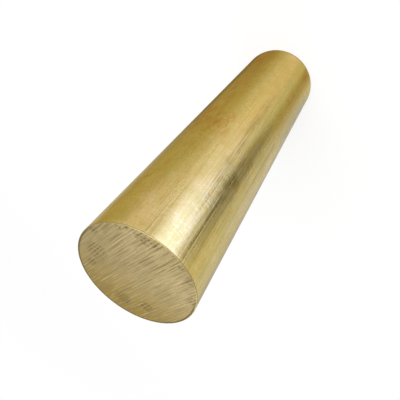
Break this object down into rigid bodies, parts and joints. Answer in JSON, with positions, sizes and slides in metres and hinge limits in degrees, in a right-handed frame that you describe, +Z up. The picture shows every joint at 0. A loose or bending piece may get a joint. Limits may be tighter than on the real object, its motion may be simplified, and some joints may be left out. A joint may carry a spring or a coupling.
{
  "type": "brass round rod",
  "caption": "Solid round rod of drawn brass, cut to length with a sawn face at each end.",
  "frame": {"origin": "on the floor, at the middle of the foot of the standing rod", "axes": "+Z up along the rod, from its foot to its top sawn face"},
  "size_m": [0.05, 0.05, 0.2],
  "materials": {
    "brass": "drawn satin side, sawn ends"
  },
  "bodies": {
    "root": {"round_rod": "brass"}
  },
  "joints": []
}
